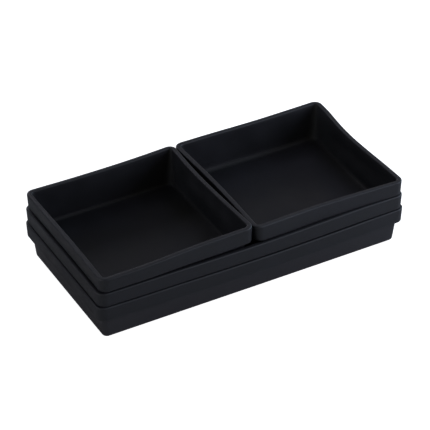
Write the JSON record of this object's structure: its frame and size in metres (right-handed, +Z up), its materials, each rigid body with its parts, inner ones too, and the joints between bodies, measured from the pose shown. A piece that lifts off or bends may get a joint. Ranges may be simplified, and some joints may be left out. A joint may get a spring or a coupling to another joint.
{
  "type": "nesting storage tray set",
  "caption": "Set of shallow black plastic drawer trays: two square trays side by side, nested in two long trays, each with a turned-down rim.",
  "frame": {"origin": "centre of the lowest tray's flat underside", "axes": "+Z up, +X along the long trays, +Y towards the back"},
  "size_m": [0.3, 0.148, 0.0652],
  "materials": {
    "black_polypropylene": "matte"
  },
  "bodies": {
    "long_tray_bottom": {"long_tray_bottom": "black_polypropylene"},
    "long_tray_middle": {"long_tray_middle": "black_polypropylene"},
    "square_tray_left": {"square_tray_left": "black_polypropylene"},
    "square_tray_right": {"square_tray_right": "black_polypropylene"}
  },
  "joints": [
    {"name": "middle_tray_lift", "type": "slide", "parent": "long_tray_bottom", "child": "long_tray_middle", "axis": [0, 0, 1], "range_m": [0, 0.06]},
    {"name": "left_tray_lift", "type": "slide", "parent": "long_tray_middle", "child": "square_tray_left", "axis": [0, 0, 1], "range_m": [0, 0.06]},
    {"name": "right_tray_lift", "type": "slide", "parent": "long_tray_middle", "child": "square_tray_right", "axis": [0, 0, 1], "range_m": [0, 0.06]}
  ]
}
